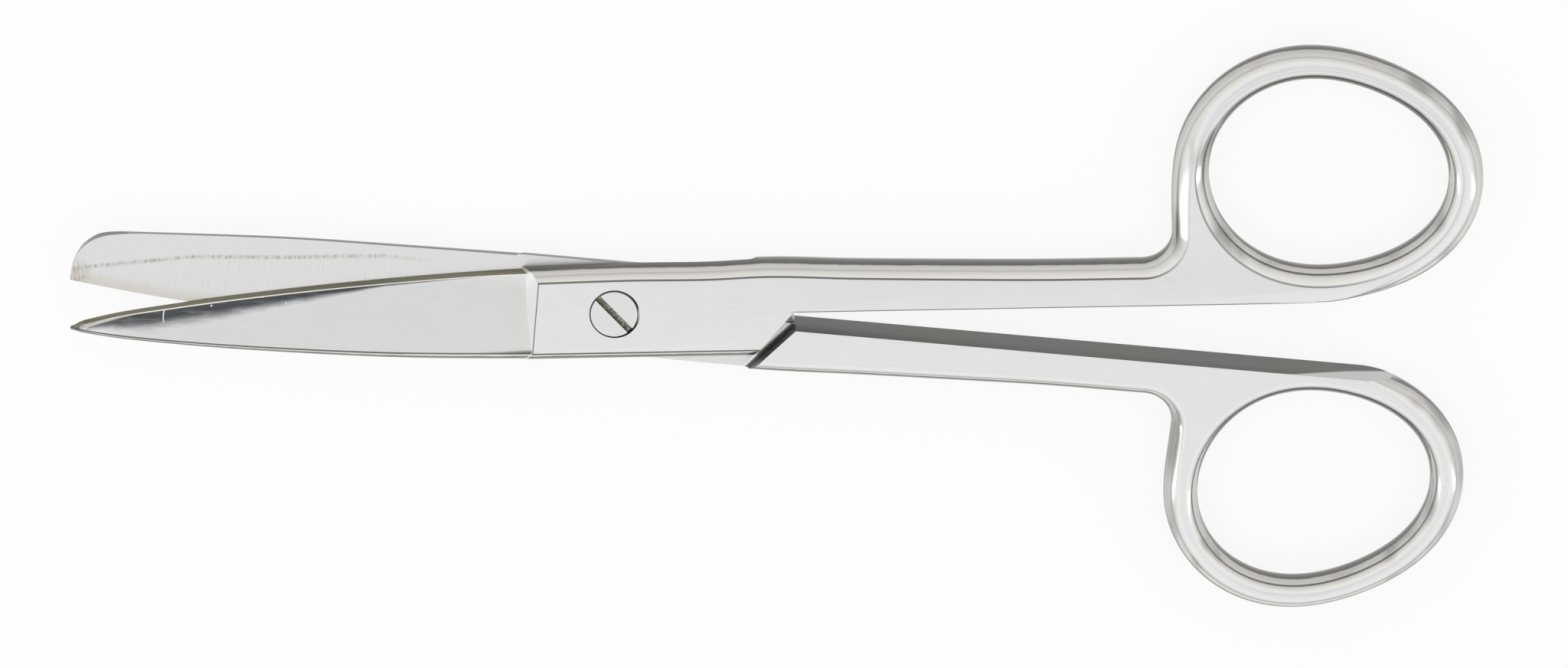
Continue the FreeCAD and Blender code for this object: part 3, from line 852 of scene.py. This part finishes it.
def painted_shade_edge_lines(n, x, y, z, nz, shape):
    """Thin painted shade lines on the face, by the shoulder and along the inner wall."""
    top_flat = n.both(n.step(nz, 0.9, 0.98), n.step(z, 4.6, 4.7))
    from_shoulder = n.math("MULTIPLY_ADD", y, -0.105, n.math("ADD", x, SHOULDER_X))
    rim = n.both(n.step(from_shoulder, 0.15, 0.08), n.step(x, -5.0, -6.0))
    from_wall = n.math("ABSOLUTE", n.math("SUBTRACT", y, shape["wall"]))
    wall_rim = n.both(n.step(from_wall, 0.13, 0.07), n.step(x, 18.0, 19.0), n.step(x, 74.0, 66.0))
    return n.both(top_flat, n.math("MAXIMUM", rim, wall_rim), 0.85)


def half_steel(name, turn, over, shape):
    n = Nodes(name)
    spot = n.put("ShaderNodeTexCoord")
    rotation = (math.pi if over else 0.0, 0.0, math.radians(turn if over else -turn))
    place = n.put("ShaderNodeMapping", {"Vector": spot.outputs["Object"], "Rotation": rotation,
                                        "Scale": (1 / MM,) * 3,
                                        "Location": (0, 0, THICKNESS if over else 0)}).outputs[0]
    facing = n.put("ShaderNodeMapping", {"Vector": spot.outputs["Normal"], "Rotation": rotation},
                   vector_type="VECTOR").outputs[0]
    x, y, z = n.put("ShaderNodeSeparateXYZ", {0: place}).outputs
    nx, ny, nz = n.put("ShaderNodeSeparateXYZ", {0: facing}).outputs
    outward = n.put("ShaderNodeSeparateXYZ", {0: spot.outputs["Normal"]}).outputs
    level = n.math("ABSOLUTE", nz)
    sideways = n.math("ABSOLUTE", nx)
    mark = n.put("ShaderNodeAttribute", attribute_name="crease").outputs["Fac"]
    brushed = n.noise(place, 6.0, 3.0, (0.06, 1.6, 1.6))
    cross = n.noise(place, 5.0, 3.0, (2.2, 0.12, 0.4))
    cloud = n.noise(place, 0.22, 2.0)
    patch = n.noise(place, 0.9, 3.0, (0.5, 1.0, 1.0), 0.6)

    wall_plane, wall = wall_masks(n, place, x, y, z, ny, over)
    gap_end = n.both(n.step(x, 9.0, 11.0), n.step(x, 23.0, 20.0), n.step(sideways, 0.30, 0.50),
                     n.step(level, 0.97, 0.85))
    step_face = n.both(gap_end, n.step(nx, -0.35, -0.6))
    shoulder = n.both(n.step(nx, -0.4, -0.6), n.step(x, -14.0, -13.0), n.step(x, -5.0, -6.0))
    honed = n.step(mark, -1.4, -1.6)
    ridge = n.both(n.step(mark, -0.4, -0.8), n.step(mark, -1.6, -1.2))
    lap = n.both(n.step(nz, -0.95, -0.99), n.step(z, 2.0, 2.2))
    steep_painted_reflection = n.step(level, 0.85, 0.20)
    cut_away = n.math("SUBTRACT", 1.0, n.math("SUBTRACT", wall_plane, wall))
    painted_dark = n.math("MULTIPLY", painted_dark_sides(n, x, outward, bore_mask(n, place, shape), patch), cut_away)
    # Painted reflection: dark irregular streaks on the ring's curved sides.
    painted_reflection_streaks = n.step(n.noise(place, 0.30, 1.0, (1.0, 0.40, 1.0), 0.5), 0.44, 0.70)
    painted_reflection_streaks = n.both(painted_reflection_streaks, n.step(level, 0.985, 0.90), n.step(level, 0.15, 0.30),
                     n.step(sideways, 0.22, 0.50), n.step(x, 55.0, 58.0))
    fine = n.mix(lap, brushed, cross)

    color = n.tint(cloud, TONES["flat"], TONES["flat_bright"])
    # Painted shade: sloped faces are tinted a darker beige.
    color = n.tint(n.both(n.step(level, 0.98, 0.70), 0.9), color, TONES["slope"])
    color = n.tint(lap, color, TONES["lap"])
    # Painted dark reflection: steep faces are darkened.
    color = n.tint(n.math("MULTIPLY", steep_painted_reflection, 0.55), color, TONES["steep_painted_reflection"])
    color = n.tint(n.math("MULTIPLY", painted_reflection_streaks, 0.55), color, TONES["painted_reflection_streaks"])
    # Painted dark reflection on upright and overhanging sides.
    color = n.tint(n.math("MULTIPLY", painted_dark, 0.95), color, TONES["painted_dark"])
    # Painted shade: the gap's end walls and step face are a mid grey, lighter than the painted dark sides.
    color = n.tint(gap_end, color, TONES["gap_end"])
    color = n.tint(step_face, color, TONES["step_face"])
    # Painted dark reflection on the kept inner wall, darker towards the drawing's underside.
    color = n.tint(wall, color, n.tint(n.step(z, 2.35, 0.2), TONES["wall"], TONES["wall_side"]))
    if over:
        color = blunt_blade_marks(n, color, place, x, y, lap)
    else:
        color = sharp_blade_marks(n, color, place, x, y, nz)
    # Painted dark reflection on the honed bevel.
    color = n.tint(honed, color, TONES["honed"])
    # Painted highlight on the shoulder's slope.
    color = n.tint(shoulder, color, TONES["shoulder"])
    color = n.tint(painted_shade_edge_lines(n, x, y, z, nz, shape), color, TONES["rim"])
    # Painted shade: dark line along each ground crease.
    crease = n.math("MULTIPLY", mark, n.mix(n.step(x, 55.0, 60.0), 0.88, 0.62), clamp=True)
    color = n.tint(crease, color, TONES["crease"])
    # Painted highlight along the honed ridge.
    color = n.tint(ridge, color, TONES["ridge"])
    grain = n.math("MULTIPLY_ADD", n.math("SUBTRACT", fine, 0.5), n.mix(wall, 0.09, 0.55), 1.0)
    grain = n.put("ShaderNodeCombineXYZ", {0: grain, 1: grain, 2: grain}).outputs[0]
    color = n.put("ShaderNodeVectorMath", {0: color, 1: grain}, operation="MULTIPLY").outputs[0]

    rough = n.math("MULTIPLY_ADD", fine, 0.05, 0.13)
    rough = n.mix(lap, rough, 0.36)
    rough = n.mix(n.math("MAXIMUM", wall, gap_end), rough, 0.42)
    rough = n.mix(shoulder, rough, 0.35)
    bump = n.put("ShaderNodeBump", {"Height": fine, "Strength": 0.06, "Distance": 0.00001})
    n.feed(color, n.shader.inputs["Base Color"])
    n.feed(rough, n.shader.inputs["Roughness"])
    n.feed(bump.outputs[0], n.shader.inputs["Normal"])
    n.shader.inputs["Metallic"].default_value = 1.0
    return n.material


def screw_steel():
    n = Nodes("screw_steel")
    spot = n.put("ShaderNodeTexCoord")
    place = n.put("ShaderNodeMapping", {"Vector": spot.outputs["Object"], "Scale": (1 / MM,) * 3}).outputs[0]
    height = n.put("ShaderNodeSeparateXYZ", {0: place}).outputs[2]
    brushed = n.noise(place, 6.0, 3.0, (0.1, 1.8, 1.8))
    spots = n.noise(place, 4.5, 3.0)
    top = THICKNESS - HEAD_SINK
    sunk = n.step(height, top - 0.05, top - 0.2)
    # Painted shade: darker brown on all that lies below the head's top, in the slot and on the head's side,
    # with lighter spots.
    color = n.tint(sunk, TONES["screw"], TONES["screw_sunk_shade"])
    color = n.tint(n.both(sunk, n.step(spots, 0.5, 0.62)), color, TONES["screw_spots"])
    n.feed(color, n.shader.inputs["Base Color"])
    n.feed(n.mix(sunk, n.math("MULTIPLY_ADD", brushed, 0.12, 0.16), 0.5), n.shader.inputs["Roughness"])
    n.shader.inputs["Metallic"].default_value = 1.0
    return n.material


def dress(obj, material):
    obj.data.materials.clear()
    obj.data.materials.append(material)


front_steel = half_steel("polished_steel_front", FRONT_TURN, False, FRONT)
back_steel = half_steel("polished_steel_back", BACK_TURN, True, BACK)
screw_material = screw_steel()
dress(front, front_steel)
dress(back, back_steel)
dress(screw, screw_material)
dress(frame["nodes"]["front_half"], front_steel)
dress(frame["nodes"]["back_half"], back_steel)
dress(frame["nodes"]["pivot_screw"], screw_material)


# Stage, light and camera

FLOOR_REACH = 4.0
FLOOR_GLOW = 0.88
UNDER_FEET = 0.00002
CAMERA_TILT = 20.0
CAMERA_DISTANCE = 1.3
CAMERA_AIM = (0.0175, -0.0021, 0.0048)
FRAME_WIDTH = 0.1615
SENSOR_WIDTH = 36.0

# Brightness of the room by the sine of the height, as (ramp position, level), towards -Y and elsewhere.
ROOM_FRONT = ((0.0, 0.50), (0.12, 0.50), (0.30, 0.72), (0.50, 0.97), (0.80, 1.0), (0.93, 0.95), (1.0, 0.78))
ROOM_REST = ((0.0, 0.62), (0.08, 0.66), (0.20, 0.90), (0.50, 0.97), (0.80, 1.0), (0.93, 0.95), (1.0, 0.78))


def floor():
    mesh = bpy.data.meshes.new("floor")
    corners = [(x * FLOOR_REACH, y * FLOOR_REACH, 0) for x, y in ((-1, -1), (1, -1), (1, 1), (-1, 1))]
    mesh.from_pydata(corners, [], [(0, 1, 2, 3)])
    obj = bpy.data.objects.new("floor", mesh)
    bpy.context.scene.collection.objects.link(obj)
    obj.location.z = -UNDER_FEET
    n = Nodes("white_floor")
    tree = n.tree
    path = n.put("ShaderNodeLightPath")
    mirrored = n.math("MAXIMUM", path.outputs["Is Glossy Ray"], path.outputs["Is Transmission Ray"])
    seen = n.math("MAXIMUM", path.outputs["Is Camera Ray"], mirrored)
    n.shader.inputs["Base Color"].default_value = (0.9, 0.9, 0.9, 1)
    n.shader.inputs["Roughness"].default_value = 0.9
    n.shader.inputs["Specular IOR Level"].default_value = 0.0
    glow = n.put("ShaderNodeEmission", {"Color": (1, 1, 1, 1), "Strength": 1.0})
    share = n.math("MULTIPLY", seen, FLOOR_GLOW)
    mixed = n.put("ShaderNodeMixShader", {0: share, 1: n.shader.outputs[0], 2: glow.outputs[0]})
    tree.links.new(mixed.outputs[0], tree.nodes["Material Output"].inputs["Surface"])
    dress(obj, n.material)


def world():
    """Soft white room, greyer low down towards -Y."""
    scene_world = bpy.data.worlds.new("studio")
    bpy.context.scene.world = scene_world
    scene_world.use_nodes = True
    tree = scene_world.node_tree
    background = tree.nodes["Background"]
    spot = tree.nodes.new("ShaderNodeTexCoord")
    parts = tree.nodes.new("ShaderNodeSeparateXYZ")
    tree.links.new(spot.outputs["Generated"], parts.inputs[0])
    ramps = []
    for stops in (ROOM_FRONT, ROOM_REST):
        ramp = tree.nodes.new("ShaderNodeValToRGB")
        ramp.color_ramp.interpolation = "B_SPLINE"
        elements = ramp.color_ramp.elements
        while len(elements) < len(stops):
            elements.new(0.5)
        for element, (place, level) in zip(elements, stops):
            element.position = place
            element.color = (level, level, level, 1)
        tree.links.new(parts.outputs[2], ramp.inputs[0])
        ramps.append(ramp)
    side = tree.nodes.new("ShaderNodeMapRange")
    side.inputs["From Min"].default_value = -0.85
    side.inputs["From Max"].default_value = -0.45
    tree.links.new(parts.outputs[1], side.inputs["Value"])
    pick = tree.nodes.new("ShaderNodeMix")
    pick.data_type = "RGBA"
    tree.links.new(side.outputs["Result"], pick.inputs[0])
    tree.links.new(ramps[0].outputs[0], pick.inputs[6])
    tree.links.new(ramps[1].outputs[0], pick.inputs[7])
    tree.links.new(pick.outputs[2], background.inputs[0])
    background.inputs[1].default_value = 1.0


def lamp(name, place, size, power, aim=(0.0175, -0.002, 0.0)):
    light = bpy.data.lights.new(name, "AREA")
    light.shape = "RECTANGLE"
    light.size, light.size_y = size
    light.energy = power
    obj = bpy.data.objects.new(name, light)
    obj.location = place
    obj.rotation_euler = (Vector(aim) - Vector(place)).to_track_quat("-Z", "Y").to_euler()
    bpy.context.scene.collection.objects.link(obj)


def camera():
    tilt = math.radians(CAMERA_TILT)
    aim = Vector(CAMERA_AIM)
    back_way = Vector((0, math.sin(tilt), math.cos(tilt)))
    up_way = Vector((0, math.cos(tilt), -math.sin(tilt)))
    lens = bpy.data.cameras.new("camera")
    lens.sensor_fit = "HORIZONTAL"
    lens.sensor_width = SENSOR_WIDTH
    lens.lens = SENSOR_WIDTH * CAMERA_DISTANCE / FRAME_WIDTH
    lens.clip_start = 0.05
    obj = bpy.data.objects.new("camera", lens)
    obj.matrix_world = Matrix.Translation(aim + back_way * CAMERA_DISTANCE) @ Matrix(
        ((1, up_way.x, back_way.x), (0, up_way.y, back_way.y), (0, up_way.z, back_way.z))).to_4x4()
    bpy.context.scene.collection.objects.link(obj)
    bpy.context.scene.camera = obj


floor()
world()
lamp("left_strip", (-0.95, -0.40, 0.50), (0.10, 0.5), 0.5)
lamp("right_strip", (0.95, -0.36, 0.45), (0.10, 0.5), 0.5)
camera()
bpy.context.scene.view_settings.view_transform = "Standard"
